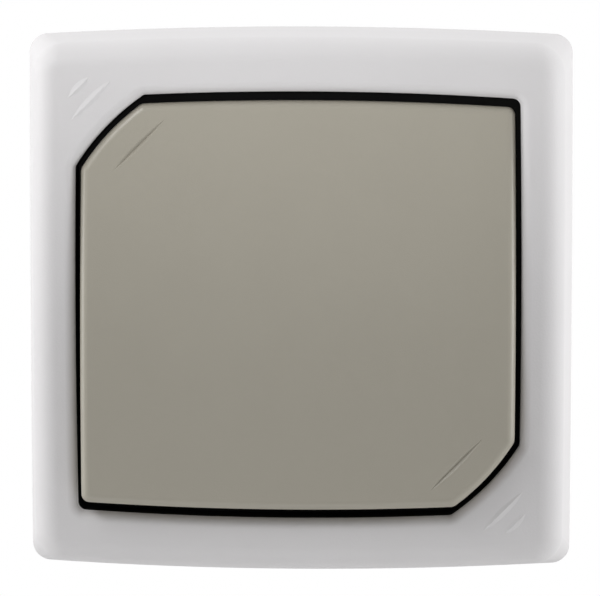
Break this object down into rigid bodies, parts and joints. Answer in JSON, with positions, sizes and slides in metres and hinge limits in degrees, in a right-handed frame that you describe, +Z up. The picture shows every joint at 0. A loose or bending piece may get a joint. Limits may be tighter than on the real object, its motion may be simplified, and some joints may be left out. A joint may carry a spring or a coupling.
{
  "type": "outdoor weatherproof switch",
  "caption": "Square flush wall switch for outdoor use: pale frame with a cut-cornered opening, wide satin rocker, seals and a two-way rocking contact mechanism.",
  "frame": {"origin": "centre of the two box screws, on the wall's surface", "axes": "+X to the right and +Z up as the switch hangs on its wall; -Y out of the wall, towards the user; +Y into the wall box"},
  "size_m": [0.084, 0.0362, 0.0844],
  "materials": {
    "frame": "smooth white moulded plastic, low gloss",
    "rocker": "satin champagne grey moulded plastic",
    "gasket": "matt black rubber",
    "membrane": "matt black soft rubber",
    "mechanism_plastic": "light grey moulded plastic",
    "toggle_plastic": "natural white moulded plastic",
    "zinc_steel": "bright zinc plated sheet",
    "pin_steel": "drawn steel wire",
    "brass": "stamped brass",
    "silver": "silver alloy contact, satin"
  },
  "bodies": {
    "housing": {"frame": "frame", "wall_gasket": "gasket", "support_plate": "zinc_steel", "mounting_rivets": "zinc_steel", "sealing_membrane": "membrane", "mechanism_cover": "mechanism_plastic", "mechanism_base": "mechanism_plastic", "pivot_pin": "pin_steel", "upper_fixed_contact": "silver", "lower_fixed_contact": "silver", "upper_terminal": "brass", "lower_terminal": "brass", "common_terminal": "brass", "terminal_screws": "zinc_steel"},
    "rocker": {"rocker": "rocker", "toggle": "toggle_plastic", "plunger_spring": "pin_steel"},
    "plunger": {"plunger": "toggle_plastic"},
    "seesaw": {"contact_seesaw": "brass", "upper_moving_contact": "silver", "lower_moving_contact": "silver"}
  },
  "joints": [
    {"name": "rocker_tilt", "type": "hinge", "parent": "housing", "child": "rocker", "pos_m": [0, -0.009, 0], "axis": [1, 0, 0], "range_deg": [0, 8]},
    {"name": "plunger_slide", "type": "slide", "parent": "rocker", "child": "plunger", "axis": [0, -0.9976, 0.0698], "range_m": [0, 0.0006], "stiffness_N_per_m": 50, "deforming": ["plunger_spring"]},
    {"name": "seesaw_tilt", "type": "hinge", "parent": "housing", "child": "seesaw", "pos_m": [0, 0.00605, 0], "axis": [1, 0, 0], "range_deg": [-16, 0]}
  ],
  "couplings": [
    {"joint": "seesaw_tilt", "follows": "rocker_tilt", "ratio": -2}
  ]
}
